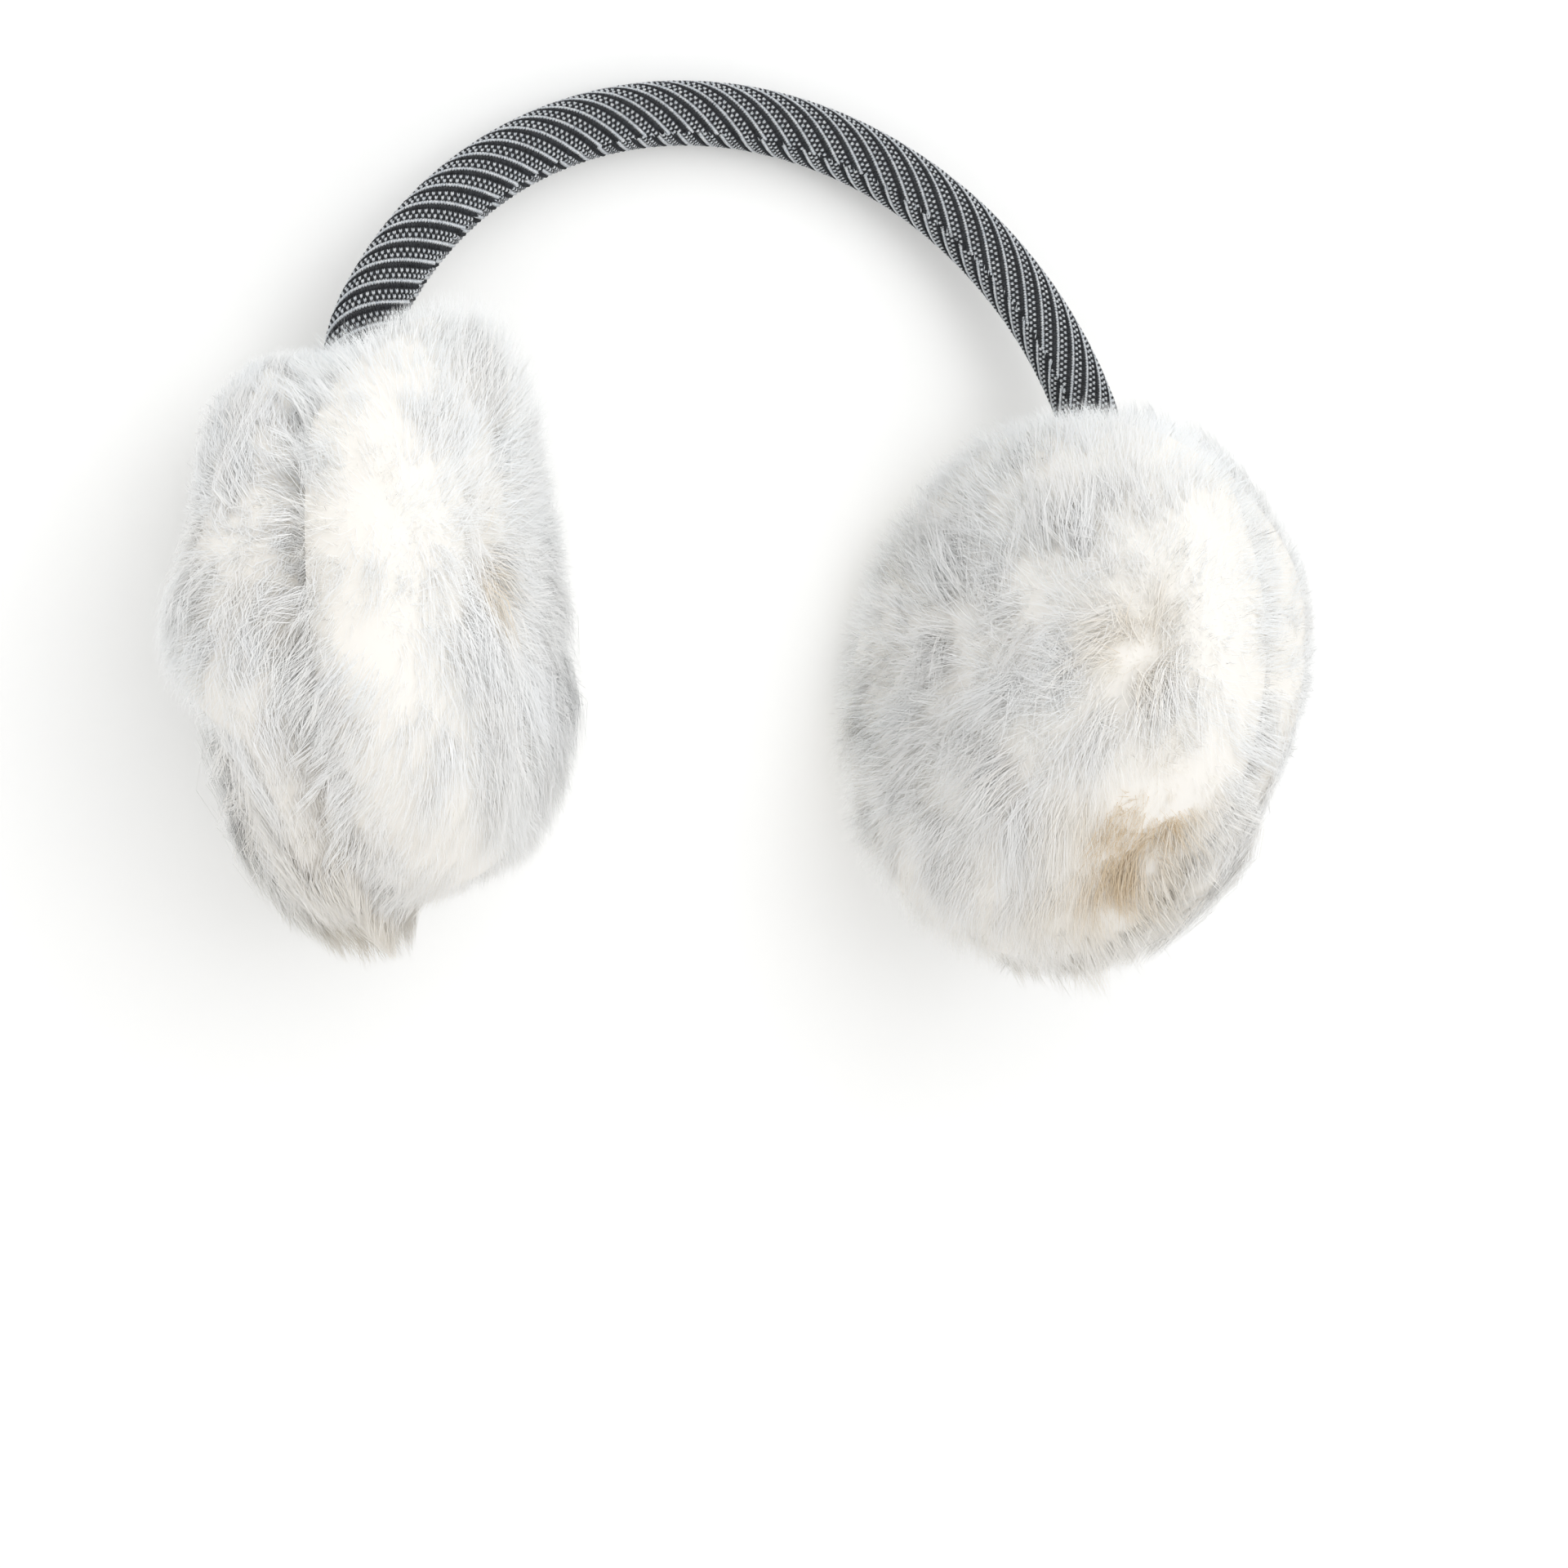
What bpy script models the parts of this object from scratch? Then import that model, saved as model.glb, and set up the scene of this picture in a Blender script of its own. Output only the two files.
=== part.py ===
"""Fur earmuffs: two round muffs of long white fur on a knit-covered, padded headband.

They lie on their backs, as when put down on a table: the front of the head side
faces up, and the backs of the two muffs and the crown of the band touch the table.
The pieces are modelled as worn (X across the ears, Y to the back of the head,
Z up) under one empty, which lays them down. Metres, +Z up.
"""

import math
import random

import bmesh
import bpy
from mathutils import Vector

# headband: a padded tube that runs down between the two fur discs of each muff
BAND_DIAMETER = 0.0186
CROWN_RADIUS = 0.1227
CROWN_ANGLE = math.radians(66)
SHOULDER_RADIUS = 0.050
LEG_CANT = math.radians(5)
LEG_TO_CENTRE = 0.066
LEG_BELOW_CENTRE = 0.022
BAND_STEP = 0.0065

# muffs: the centre of each lies on its leg, and it has turned about the leg
FUR_DEPTH = 0.052
FUR_RADIUS_FRONT = 0.076
FUR_RADIUS_UP = 0.084
FUR_FULLNESS = 3.2
HIDE_DEPTH = 0.036
HIDE_RADIUS = 0.062
RIM_STEP_BACK = 0.010
TOE_RIGHT = math.radians(32)
TOE_LEFT = math.radians(18)

# locks of fur: one for each cell of a square grid that is wrapped over the hide
LOCK_GRID = 10
LOCK_WAIST = 0.45
LOCK_WAIST_WIDTH = 0.86
LOCK_TIP_WIDTH = 0.45
LOCK_SCATTER = 0.10
LOCK_SEED = 7

# fit and rest
GAP = 0.0003
FUR_PRESSED = 0.010
BARE_REACH = 1.6

BAND_RADIUS = BAND_DIAMETER / 2
SHOULDER_ANGLE = math.pi / 2 + LEG_CANT - CROWN_ANGLE
CHANNEL_RADIUS = BAND_RADIUS + GAP
MUFF_HEIGHT = FUR_RADIUS_FRONT - FUR_PRESSED

# each half of a muff: side is +1 for the wearer's left, way is +1 outwards,
# long is the reach of its fur against the named radii, drop is how far its
# longest locks hang below the muff, as a share of FUR_RADIUS_UP, and hollows are
# the places where its fur lies flatter: to the back and up from the pole, both 1
# at the rim, their width as a share of it, and their depth
FUR_HALVES = (
    # name, side, way, long, drop, hollows
    ("outer_fur_right", -1, 1, 0.94, 0.12,
     ((-0.42, 0.20, 0.24, 0.004), (-0.26, -0.36, 0.20, 0.011), (-0.10, -0.66, 0.20, 0.010))),
    ("inner_fur_right", -1, -1, 1.00, -0.03, ((0.15, -0.62, 0.26, 0.012),)),
    ("outer_fur_left", 1, 1, 0.95, 0.01, ((-0.50, -0.12, 0.20, 0.010),)),
    ("inner_fur_left", 1, -1, 1.00, 0.0, ()),
)


def clear_scene():
    for thing in list(bpy.data.objects):
        bpy.data.objects.remove(thing, do_unlink=True)


def new_collection(name):
    group = bpy.data.collections.new(name)
    bpy.context.scene.collection.children.link(group)
    return group


def new_material(name, colour, roughness):
    finish = bpy.data.materials.new(name)
    finish.use_nodes = True
    shader = finish.node_tree.nodes["Principled BSDF"]
    shader.inputs["Base Color"].default_value = (*colour, 1.0)
    shader.inputs["Roughness"].default_value = roughness
    shader.inputs["Metallic"].default_value = 0.0
    return finish


def put_in(group, thing, parent=None):
    group.objects.link(thing)
    thing.parent = parent


def shoulder_end():
    """The end of the bend from the crown into the leg, on the +X side."""
    turn = CROWN_ANGLE + SHOULDER_ANGLE
    across = CROWN_RADIUS * math.sin(CROWN_ANGLE)
    across += SHOULDER_RADIUS * (math.sin(turn) - math.sin(CROWN_ANGLE))
    drop = CROWN_RADIUS * (1 - math.cos(CROWN_ANGLE))
    drop += SHOULDER_RADIUS * (math.cos(CROWN_ANGLE) - math.cos(turn))
    return across, -drop


def point_on_leg(along):
    """A point on the +X leg, so far past the shoulder."""
    across, height = shoulder_end()
    return across - along * math.sin(LEG_CANT), height - along * math.cos(LEG_CANT)


def band_half(past_end):
    """Points of the band's middle line from the crown to past the end of the +X leg."""
    runs = (
        (CROWN_RADIUS * CROWN_ANGLE, 1 / CROWN_RADIUS),
        (SHOULDER_RADIUS * SHOULDER_ANGLE, 1 / SHOULDER_RADIUS),
        (LEG_TO_CENTRE + LEG_BELOW_CENTRE + past_end, 0.0),
    )
    across, height, heading = 0.0, 0.0, 0.0
    points = [(across, height)]
    for length, bend in runs:
        steps = max(2, round(length / BAND_STEP))
        stride = length / steps
        for _ in range(steps):
            middle = heading + bend * stride / 2
            across += stride * math.cos(middle)
            height -= stride * math.sin(middle)
            heading += bend * stride
            points.append((across, height))
    return points


def make_tube(group, worn, name, radius, past_end):
    """A round tube along the whole band, from leg to leg."""
    half = band_half(past_end)
    whole = [(-across, height) for across, height in reversed(half[1:])] + half
    path = bpy.data.curves.new(name, "CURVE")
    path.dimensions = "3D"
    path.bevel_depth = radius
    path.bevel_resolution = 4
    path.use_fill_caps = True
    line = path.splines.new("POLY")
    line.points.add(len(whole) - 1)
    for point, (across, height) in zip(line.points, whole):
        point.co = (across, 0.0, height, 1.0)
    tube = bpy.data.objects.new(name, path)
    put_in(group, tube, worn)
    return tube


def muff_frame(group, worn, name, side, toe):
    """An empty at a muff's centre, its Z up the leg and its X across the muff."""
    across, height = point_on_leg(LEG_TO_CENTRE)
    frame = bpy.data.objects.new(name, None)
    frame.location = (side * across, 0.0, height)
    frame.rotation_mode = "ZYX"
    frame.rotation_euler = (0.0, side * LEG_CANT, side * toe)
    put_in(group, frame, worn)
    return frame


def wrap_on_dome(u, v):
    """Where a grid point (u, v from -1 to 1) goes: its place from the pole (0) to
    the rim (1), and its angle round the muff. Square rings become round ones."""
    ring = max(abs(u), abs(v))
    if ring == 0:
        return 0.0, 0.0
    if abs(u) >= abs(v):
        turn = math.pi / 4 * (v / u) + (math.pi if u < 0 else 0.0)
    else:
        turn = math.pi / 2 - math.pi / 4 * (u / v) + (math.pi if v < 0 else 0.0)
    return ring, turn


def dome_point(place, turn, depth, front, up, fullness):
    """A point on a dome over the muff's middle plane, widest RIM_STEP_BACK above
    the plane and down on it at its edge. A fullness of 2 makes it round, and more
    makes it squarer between its pole and its rim."""
    fall = place * (math.pi / 2 + math.asin(RIM_STEP_BACK / depth))
    over, spread = math.cos(fall), math.sin(fall)
    if over > 0:
        swell = (over ** fullness + spread ** fullness) ** (-1 / fullness)
        out = RIM_STEP_BACK + (depth - RIM_STEP_BACK) * over * swell
        spread *= swell
    else:
        out = RIM_STEP_BACK + depth * over
    return Vector((max(out, 0.0), front * spread * math.cos(turn), up * spread * math.sin(turn)))


def hide_point(place, turn):
    return dome_point(place, turn, HIDE_DEPTH, HIDE_RADIUS, HIDE_RADIUS, 2)


def fur_envelope(place, turn, long, drop, hollows):
    """Where the tips of the locks end."""
    tip = dome_point(place, turn, FUR_DEPTH, FUR_RADIUS_FRONT, FUR_RADIUS_UP, FUR_FULLNESS)
    tip *= long
    low = max(0.0, -math.sin(turn)) * place
    tip.z -= FUR_RADIUS_UP * drop * low ** 2
    outward = (tip - hide_point(place, turn)).normalized()
    for back, up, width, depth in hollows:
        far = math.hypot(place * math.cos(turn) - back, place * math.sin(turn) - up)
        tip -= outward * depth * math.exp(-(far / width) ** 2 / 2)
    return tip


def in_channel(spot):
    """Whether a cell of the hide is where the band comes in."""
    reach = CHANNEL_RADIUS * BARE_REACH
    return spot.z > 0 and abs(spot.y) < reach and spot.x < reach


def grow_lock(bm, face, tip, centre):
    """Draws one cell of the hide out to a tapered lock that ends at the tip."""
    corners = [vert.co - centre for vert in face.verts]
    lifts = ((LOCK_WAIST, LOCK_WAIST_WIDTH), (1.0, LOCK_TIP_WIDTH))
    for share, width in lifts:
        grown = bmesh.ops.extrude_discrete_faces(bm, faces=[face])
        face = grown["faces"][0]
        heart = centre.lerp(tip, share)
        for vert, corner in zip(face.verts, corners):
            spot = heart + corner * width
            vert.co = (max(spot.x, GAP / 2), spot.y, spot.z)


def make_fur_half(group, frame, finish, name, way, long, drop, hollows, seed):
    """Half of a muff: a domed hide with a lock of fur on each cell, flat where it
    meets the other half. It is built with the dome towards +X, then turned."""
    chance = random.Random(seed)
    bm = bmesh.new()
    bmesh.ops.create_grid(bm, x_segments=LOCK_GRID, y_segments=LOCK_GRID, size=1.0)
    places = {vert: wrap_on_dome(vert.co.x, vert.co.y) for vert in bm.verts}
    cells = []
    for face in bm.faces:
        cells.append((face, *wrap_on_dome(*face.calc_center_median().xy)))
    for vert, (place, turn) in places.items():
        spot = hide_point(place, turn)
        vert.co = (max(spot.x, GAP / 2), spot.y, spot.z)
    rim = [edge for edge in bm.edges if edge.is_boundary]
    for vert in {vert for edge in rim for vert in edge.verts}:
        vert.co.x = GAP / 2
    bmesh.ops.contextual_create(bm, geom=rim)
    bmesh.ops.recalc_face_normals(bm, faces=bm.faces)
    for face, place, turn in cells:
        centre = face.calc_center_median()
        length = 1 + LOCK_SCATTER * (chance.random() - 0.5)
        lean = LOCK_SCATTER * (chance.random() - 0.5)
        tip = fur_envelope(place, turn + lean, long * length, drop, hollows)
        if not in_channel(centre):
            grow_lock(bm, face, tip, centre)
    for vert in bm.verts:
        vert.co.x *= way
    bmesh.ops.recalc_face_normals(bm, faces=bm.faces)
    mesh = bpy.data.meshes.new(name)
    bm.to_mesh(mesh)
    bm.free()
    mesh.materials.append(finish)
    fur = bpy.data.objects.new(name, mesh)
    put_in(group, fur, frame)
    return fur


def band_cutter(group, worn):
    """The band with clearance all round: the way that it takes down each muff."""
    tube = make_tube(group, worn, "band_cutter_path", CHANNEL_RADIUS, GAP)
    bpy.context.view_layer.update()
    shape = tube.evaluated_get(bpy.context.evaluated_depsgraph_get())
    mesh = bpy.data.meshes.new_from_object(shape)
    bm = bmesh.new()
    bm.from_mesh(mesh)
    bmesh.ops.remove_doubles(bm, verts=bm.verts, dist=GAP / 10)
    bmesh.ops.recalc_face_normals(bm, faces=bm.faces)
    bm.to_mesh(mesh)
    bm.free()
    bpy.data.objects.remove(tube, do_unlink=True)
    return hide_cutter(group, bpy.data.objects.new("band_cutter", mesh), worn)


def table_cutter(group):
    """What lies below the table: the fur is pressed flat on it."""
    size = 4 * (CROWN_RADIUS + LEG_TO_CENTRE + FUR_RADIUS_UP)
    bpy.ops.mesh.primitive_cube_add(size=size, location=(0.0, 0.0, -size / 2))
    cutter = bpy.context.active_object
    cutter.name = "table_cutter"
    cutter.users_collection[0].objects.unlink(cutter)
    return hide_cutter(group, cutter, None)


def hide_cutter(group, cutter, parent):
    put_in(group, cutter, parent)
    cutter.hide_render = True
    cutter.display_type = "WIRE"
    return cutter


def cut(fur, cutter):
    tool = fur.modifiers.new(cutter.name, "BOOLEAN")
    tool.operation = "DIFFERENCE"
    tool.solver = "EXACT"
    tool.use_self = True
    tool.object = cutter


def lay_down(worn):
    """Turns the worn earmuffs on to their back, crown and muffs on the table."""
    height = point_on_leg(LEG_TO_CENTRE)[1]
    tilt = math.asin((MUFF_HEIGHT - BAND_RADIUS) / -height)
    worn.rotation_euler = (-(math.pi / 2 + tilt), 0.0, 0.0)
    worn.location = (0.0, 0.0, BAND_RADIUS)


def centre_outline(parts, worn):
    """Moves all across the table until the outline's middle is over the origin."""
    bpy.context.view_layer.update()
    state = bpy.context.evaluated_depsgraph_get()
    spots = []
    for part in parts.objects:
        if part.type == "EMPTY":
            continue
        shape = part.evaluated_get(state)
        place = shape.matrix_world
        spots += [place @ vert.co for vert in shape.to_mesh().vertices]
        shape.to_mesh_clear()
    for axis in (0, 1):
        ends = [spot[axis] for spot in spots]
        worn.location[axis] -= (min(ends) + max(ends)) / 2


def build():
    clear_scene()
    parts = new_collection("fur_earmuffs")
    cutters = new_collection("cutters")
    knit = new_material("knit cover", (0.17, 0.18, 0.20), 0.9)
    white_fur = new_material("white fur", (0.86, 0.86, 0.84), 0.95)

    worn = bpy.data.objects.new("worn_frame", None)
    put_in(parts, worn)
    lay_down(worn)
    make_tube(parts, worn, "headband", BAND_RADIUS, 0.0).data.materials.append(knit)
    band = band_cutter(cutters, worn)
    table = table_cutter(cutters)
    frames = {-1: muff_frame(parts, worn, "muff_frame_right", -1, TOE_RIGHT),
              1: muff_frame(parts, worn, "muff_frame_left", 1, TOE_LEFT)}
    for row, (name, side, way, long, drop, hollows) in enumerate(FUR_HALVES):
        fur = make_fur_half(parts, frames[side], white_fur, name, side * way, long, drop,
                            hollows, LOCK_SEED + row)
        cut(fur, band)
        cut(fur, table)
    centre_outline(parts, worn)


build()
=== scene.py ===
import math

import bpy
import numpy as np
from mathutils import Matrix, Vector
from mathutils.kdtree import KDTree


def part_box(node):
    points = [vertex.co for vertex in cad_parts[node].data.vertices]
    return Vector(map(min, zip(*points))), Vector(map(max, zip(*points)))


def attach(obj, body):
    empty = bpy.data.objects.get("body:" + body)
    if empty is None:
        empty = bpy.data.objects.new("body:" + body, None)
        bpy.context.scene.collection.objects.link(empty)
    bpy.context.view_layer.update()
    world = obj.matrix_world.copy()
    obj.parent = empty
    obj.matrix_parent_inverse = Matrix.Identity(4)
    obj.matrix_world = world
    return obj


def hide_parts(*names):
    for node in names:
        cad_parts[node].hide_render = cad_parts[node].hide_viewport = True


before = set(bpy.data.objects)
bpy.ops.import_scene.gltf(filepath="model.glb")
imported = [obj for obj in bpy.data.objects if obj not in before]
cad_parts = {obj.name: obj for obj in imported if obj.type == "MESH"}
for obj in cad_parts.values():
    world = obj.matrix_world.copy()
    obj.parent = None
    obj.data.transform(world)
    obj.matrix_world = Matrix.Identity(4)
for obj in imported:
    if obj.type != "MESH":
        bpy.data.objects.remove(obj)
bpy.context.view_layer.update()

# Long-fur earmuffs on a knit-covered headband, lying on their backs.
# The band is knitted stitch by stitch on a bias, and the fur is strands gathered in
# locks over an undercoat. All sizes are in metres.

rest_body = "root"

# the headband, as the frame's solid has it
BAND_RADIUS = 0.0093
CROWN_RADIUS = 0.1227
CROWN_ANGLE = math.radians(66)
SHOULDER_RADIUS = 0.050
LEG_CANT = math.radians(5)
LEG_TO_CENTRE = 0.066
LEG_BELOW_CENTRE = 0.022
CROWN_LENGTH = CROWN_RADIUS * CROWN_ANGLE
SHOULDER_LENGTH = SHOULDER_RADIUS * (math.pi / 2 + LEG_CANT - CROWN_ANGLE)

# the muffs, as the frame's solids have them
FUR_DEPTH = 0.0520
FUR_RADIUS_FRONT = 0.076
FUR_RADIUS_UP = 0.084
FUR_SURFACE = (FUR_DEPTH, FUR_RADIUS_FRONT, FUR_RADIUS_UP)
FUR_FULLNESS = 3.2
RIM_STEP_BACK = 0.010
FUR_PRESSED = 0.010
TOE = {-1: math.radians(32), 1: math.radians(18)}

# how softly the fur and the band are pressed flat by the table, and how far the hairs
# stay over it
FUR_SOFTNESS = 0.009
BAND_SOFTNESS = 0.0003
OVER_TABLE = 0.0002

# the knit: a wale is the width of a stitch, a course the height of a row, and both the
# bias and the course change along the band
WALE = 0.00087
COURSE = 0.00132
COURSE_CHANGE = -0.13
BIAS_MIDDLE = math.radians(43)
BIAS_CHANGE = math.radians(-15)
CHANGE_LENGTH = 0.16
CHANGE_LIMIT = 1.15
SEAM_ANGLE = math.radians(148)
SEAM_STEP = 0.0021
STITCHED_HALF = 0.176
KNIT_SEED = 11

# the core, and how far from the band's middle line the stitches start and stand
CORE_RADIUS = 0.00885
CORE_SIDES = 48
CORE_RINGS = 181
STITCH_BASE = CORE_RADIUS - 0.0001
STITCH_TOP = 0.00935

# a stitch's leg from foot to head, each as wales across and courses along, and half the
# width of the legs as a share of a wale
LEG_FOOT = (0.12, -0.70)
LEG_HEAD = (0.34, 0.62)
LIGHT_FULLNESS = 0.34
DARK_FULLNESS = 0.29

# one repeat of the stripe, a row for each course: 1 is light yarn and 0 is dark
STRIPE_CHART = (
    # even stitches, odd stitches
    (1, 1),
    (1, 0),
    (0, 1),
    (0, 0),
)

# the skin that the fur grows from
HIDE_DEPTH = 0.024
HIDE_RADIUS = 0.060
HIDE = (HIDE_DEPTH, HIDE_RADIUS, HIDE_RADIUS)

# the fur's numbers, and the turn that spreads a spiral's points evenly
STRANDS = 60000
LOCKS = 260
WISPS = 5000
GOLDEN = math.pi * (3 - math.sqrt(5))

# as shares of the muff's radius: how far hairs, locks and wisps are off their even
# places, how far a hair may stray to the next lock, and how far each leans off the comb
HAIR_SHIFT = 0.004
LOCK_SHIFT = 0.022
WISP_SHIFT = 0.010
LOCK_BLUR = 0.012
HAIR_LEAN = 0.015
LOCK_LEAN = 0.045
WISP_LEAN = 0.038

# how much of the way to the middle of their wisp the hairs' tips draw together
WISP_DRAW = (0.10, 0.38)

# a hair: its width, its points along it and their widths, its bend over the skin and on
# the way to the tip, and how far up to its bend it starts, which is less at the rim
STRAND_WIDTH = 0.00022
STEPS_ALONG = np.array((0.0, 0.58, 1.0))
STEP_WIDTHS = np.array((1.0, 0.9))
BEND_UP = 0.62
BEND_ALONG = 0.12
BEND_SHIFT = 0.0016
HAIR_START = 0.62
RIM_START = 0.4

# how far the tips may cross the muff's middle plane
TIPS_PAST_MIDDLE = 0.002

# the fur's rim: where each change of it starts, and how large the changes are
LEAN_FROM = 0.70
SHORT_FROM = 0.72
THIN_FROM = 0.78
GROOVE_FROM = 0.82
GROOVE_DEPTH = 0.11
GROOVE_THINNING = 0.45
RIM_SPREAD = 0.35

# how the hairs' shading turns: off a lock's middle, about the hair and over its width
LOCK_SIZE = 0.07
LOCK_ROUNDNESS = 0.10
HAIR_ROLL = 0.45
HAIR_ROUNDNESS = 0.12

# the undercoat: its share of the way from the skin to the fur's surface, its rings and
# the rings of its disc, and how far it stays off the muff's middle plane
UNDERCOAT_SHARE = 0.80
COAT_RINGS = 30
COAT_SIDES = 80
DISC_RINGS = 14
COAT_OFF_MIDDLE = 0.0004

# the photograph's view, in the frame of the earmuffs as worn
LENS = 75.7
SENSOR = 36.0
VIEW_AZIMUTH = math.radians(-24)
VIEW_ELEVATION = math.radians(-17.1)
VIEW_DISTANCE = 0.9606
VIEW_CENTRE = Vector((0.0, 0.0, -0.070))
AIM_RIGHT = 0.0118
AIM_UP = -0.1267

# the point that the lights shine at, in the frame
LIGHTS_AIM = Vector((0.0, 0.0, 0.05))


# where the worn earmuffs lie in the frame

def shoulder_end():
    """The end of the bend from the crown into the leg, on the +X side."""
    turn = math.pi / 2 + LEG_CANT
    across = CROWN_RADIUS * math.sin(CROWN_ANGLE)
    across += SHOULDER_RADIUS * (math.sin(turn) - math.sin(CROWN_ANGLE))
    drop = CROWN_RADIUS * (1 - math.cos(CROWN_ANGLE))
    drop += SHOULDER_RADIUS * (math.cos(CROWN_ANGLE) - math.cos(turn))
    return across, -drop


def muff_centre():
    """The middle of the muff on the +X side."""
    across, height = shoulder_end()
    across -= LEG_TO_CENTRE * math.sin(LEG_CANT)
    height -= LEG_TO_CENTRE * math.cos(LEG_CANT)
    return across, height


def worn_frame():
    """From the earmuffs as worn (origin at the crown, X across the ears, Y to the
    back, Z up) to the earmuffs as they lie."""
    low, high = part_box("headband")
    height = muff_centre()[1]
    tilt = math.asin((FUR_RADIUS_FRONT - FUR_PRESSED - BAND_RADIUS) / -height)
    place = Vector(((low.x + high.x) / 2, high.y - BAND_RADIUS, BAND_RADIUS))
    return Matrix.Translation(place) @ Matrix.Rotation(-(math.pi / 2 + tilt), 4, "X")


WORN = worn_frame()


def muff_frame(side):
    """From a muff (X across it, Y to the back, Z up its leg) to where it lies."""
    across, height = muff_centre()
    place = Matrix.Translation((side * across, 0.0, height))
    turn = Matrix.Rotation(side * LEG_CANT, 4, "Y") @ Matrix.Rotation(side * TOE[side], 4, "Z")
    return WORN @ place @ turn


def moved(matrix, spots):
    """Points of an array, moved and turned by a matrix."""
    grid = np.array(matrix)
    return spots @ grid[:3, :3].T + grid[:3, 3]


def turned(matrix, ways):
    """Directions of an array, turned by a matrix."""
    return ways @ np.array(matrix)[:3, :3].T


def unit(ways):
    """Directions of an array, each made 1 long."""
    return ways / np.maximum(np.linalg.norm(ways, axis=-1, keepdims=True), 1e-12)


# shader maths

class Wire:
    """An output of a node, which takes part in sums."""

    def __init__(self, board, socket):
        self.board = board
        self.socket = socket

    def sum_of(self, kind, *values):
        return self.board.node("ShaderNodeMath", {"operation": kind}, *values)

    def __add__(self, other):
        return self.sum_of("ADD", self, other)

    def __radd__(self, other):
        return self.sum_of("ADD", other, self)

    def __sub__(self, other):
        return self.sum_of("SUBTRACT", self, other)

    def __rsub__(self, other):
        return self.sum_of("SUBTRACT", other, self)

    def __mul__(self, other):
        return self.sum_of("MULTIPLY", self, other)

    def __rmul__(self, other):
        return self.sum_of("MULTIPLY", other, self)

    def __pow__(self, other):
        return self.sum_of("POWER", self, other)


class Finish:
    """A material and its nodes."""

    def __init__(self, name):
        self.material = bpy.data.materials.new(name)
        self.material.use_nodes = True
        self.tree = self.material.node_tree
        self.tree.nodes.clear()

    def put(self, socket, value):
        if isinstance(value, Wire):
            self.tree.links.new(value.socket, socket)
        elif isinstance(value, tuple) and len(socket.default_value) == 4:
            socket.default_value = (*value, 1.0)
        else:
            socket.default_value = value

    def node(self, kind, settings, *values, out=0, **named):
        """Adds a node: its settings first, then values or links by place or name."""
        made = self.tree.nodes.new(kind)
        for key, value in settings.items():
            if key == "stops":
                set_stops(made.color_ramp, value)
            else:
                setattr(made, key, value)
        for place, value in enumerate(values):
            self.put(made.inputs[place], value)
        for key, value in named.items():
            self.put(made.inputs[key.replace("_", " ")], value)
        return Wire(self, made.outputs[out])

    def mix(self, share, first, second):
        """Two colours mixed: the Mix node has them at its sockets 6 and 7."""
        made = self.node("ShaderNodeMix", {"data_type": "RGBA"}, out=2)
        sockets = made.socket.node.inputs
        for place, value in ((0, share), (6, first), (7, second)):
            self.put(sockets[place], value)
        return made

    def baking_map(self):
        """Where the shaded point is on the baking map: its tone, and how far along."""
        place = self.node("ShaderNodeUVMap", {"uv_map": "OFBake"})
        tone = self.node("ShaderNodeSeparateXYZ", {}, place)
        return tone, Wire(self, tone.socket.node.outputs[1])

    def surface(self, **named):
        """The finished material, from its surface shader's settings."""
        shader = self.node("ShaderNodeBsdfPrincipled", {}, **named)
        output = self.tree.nodes.new("ShaderNodeOutputMaterial")
        self.tree.links.new(shader.socket, output.inputs["Surface"])
        return self.material


def set_stops(ramp, stops):
    """Gives a colour ramp its stops: a place from 0 to 1 and a colour each."""
    while len(ramp.elements) < len(stops):
        ramp.elements.new(0.5)
    for element, (place, colour) in zip(ramp.elements, stops):
        element.position = place
        element.color = (*colour, 1.0)


def from_screen(red, green, blue):
    """A colour as read on a screen (0 to 255), as the shaders want it."""
    shares = [value / 255 for value in (red, green, blue)]
    return tuple(share / 12.92 if share <= 0.04045 else ((share + 0.055) / 1.055) ** 2.4
                 for share in shares)


# meshes

def make_mesh(name, spots, corners, sizes, maps, normals=None):
    """A mesh from arrays: corners lists each face's points, sizes their number, and
    maps holds each point's place on the baking map."""
    mesh = bpy.data.meshes.new(name)
    mesh.vertices.add(len(spots))
    mesh.vertices.foreach_set("co", spots.astype(np.float32).ravel())
    mesh.loops.add(len(corners))
    mesh.loops.foreach_set("vertex_index", corners.astype(np.int32))
    mesh.polygons.add(len(sizes))
    starts = np.concatenate(([0], np.cumsum(sizes)[:-1]))
    mesh.polygons.foreach_set("loop_start", starts.astype(np.int32))
    mesh.update(calc_edges=True)
    mesh.polygons.foreach_set("use_smooth", np.ones(len(sizes), dtype=bool))
    layer = mesh.uv_layers.new(name="OFBake")
    layer.uv.foreach_set("vector", maps[corners].astype(np.float32).ravel())
    if normals is not None:
        mesh.normals_split_custom_set_from_vertices(normals.astype(np.float32))
    return mesh


def make_piece(name, mesh, finish, node):
    """A visible piece that stands in for the frame's solid of a node."""
    piece = bpy.data.objects.new(name, mesh)
    mesh.materials.append(finish)
    bpy.context.scene.collection.objects.link(piece)
    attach(piece, rest_body)
    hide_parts(node)
    return piece


# the knit headband

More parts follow.
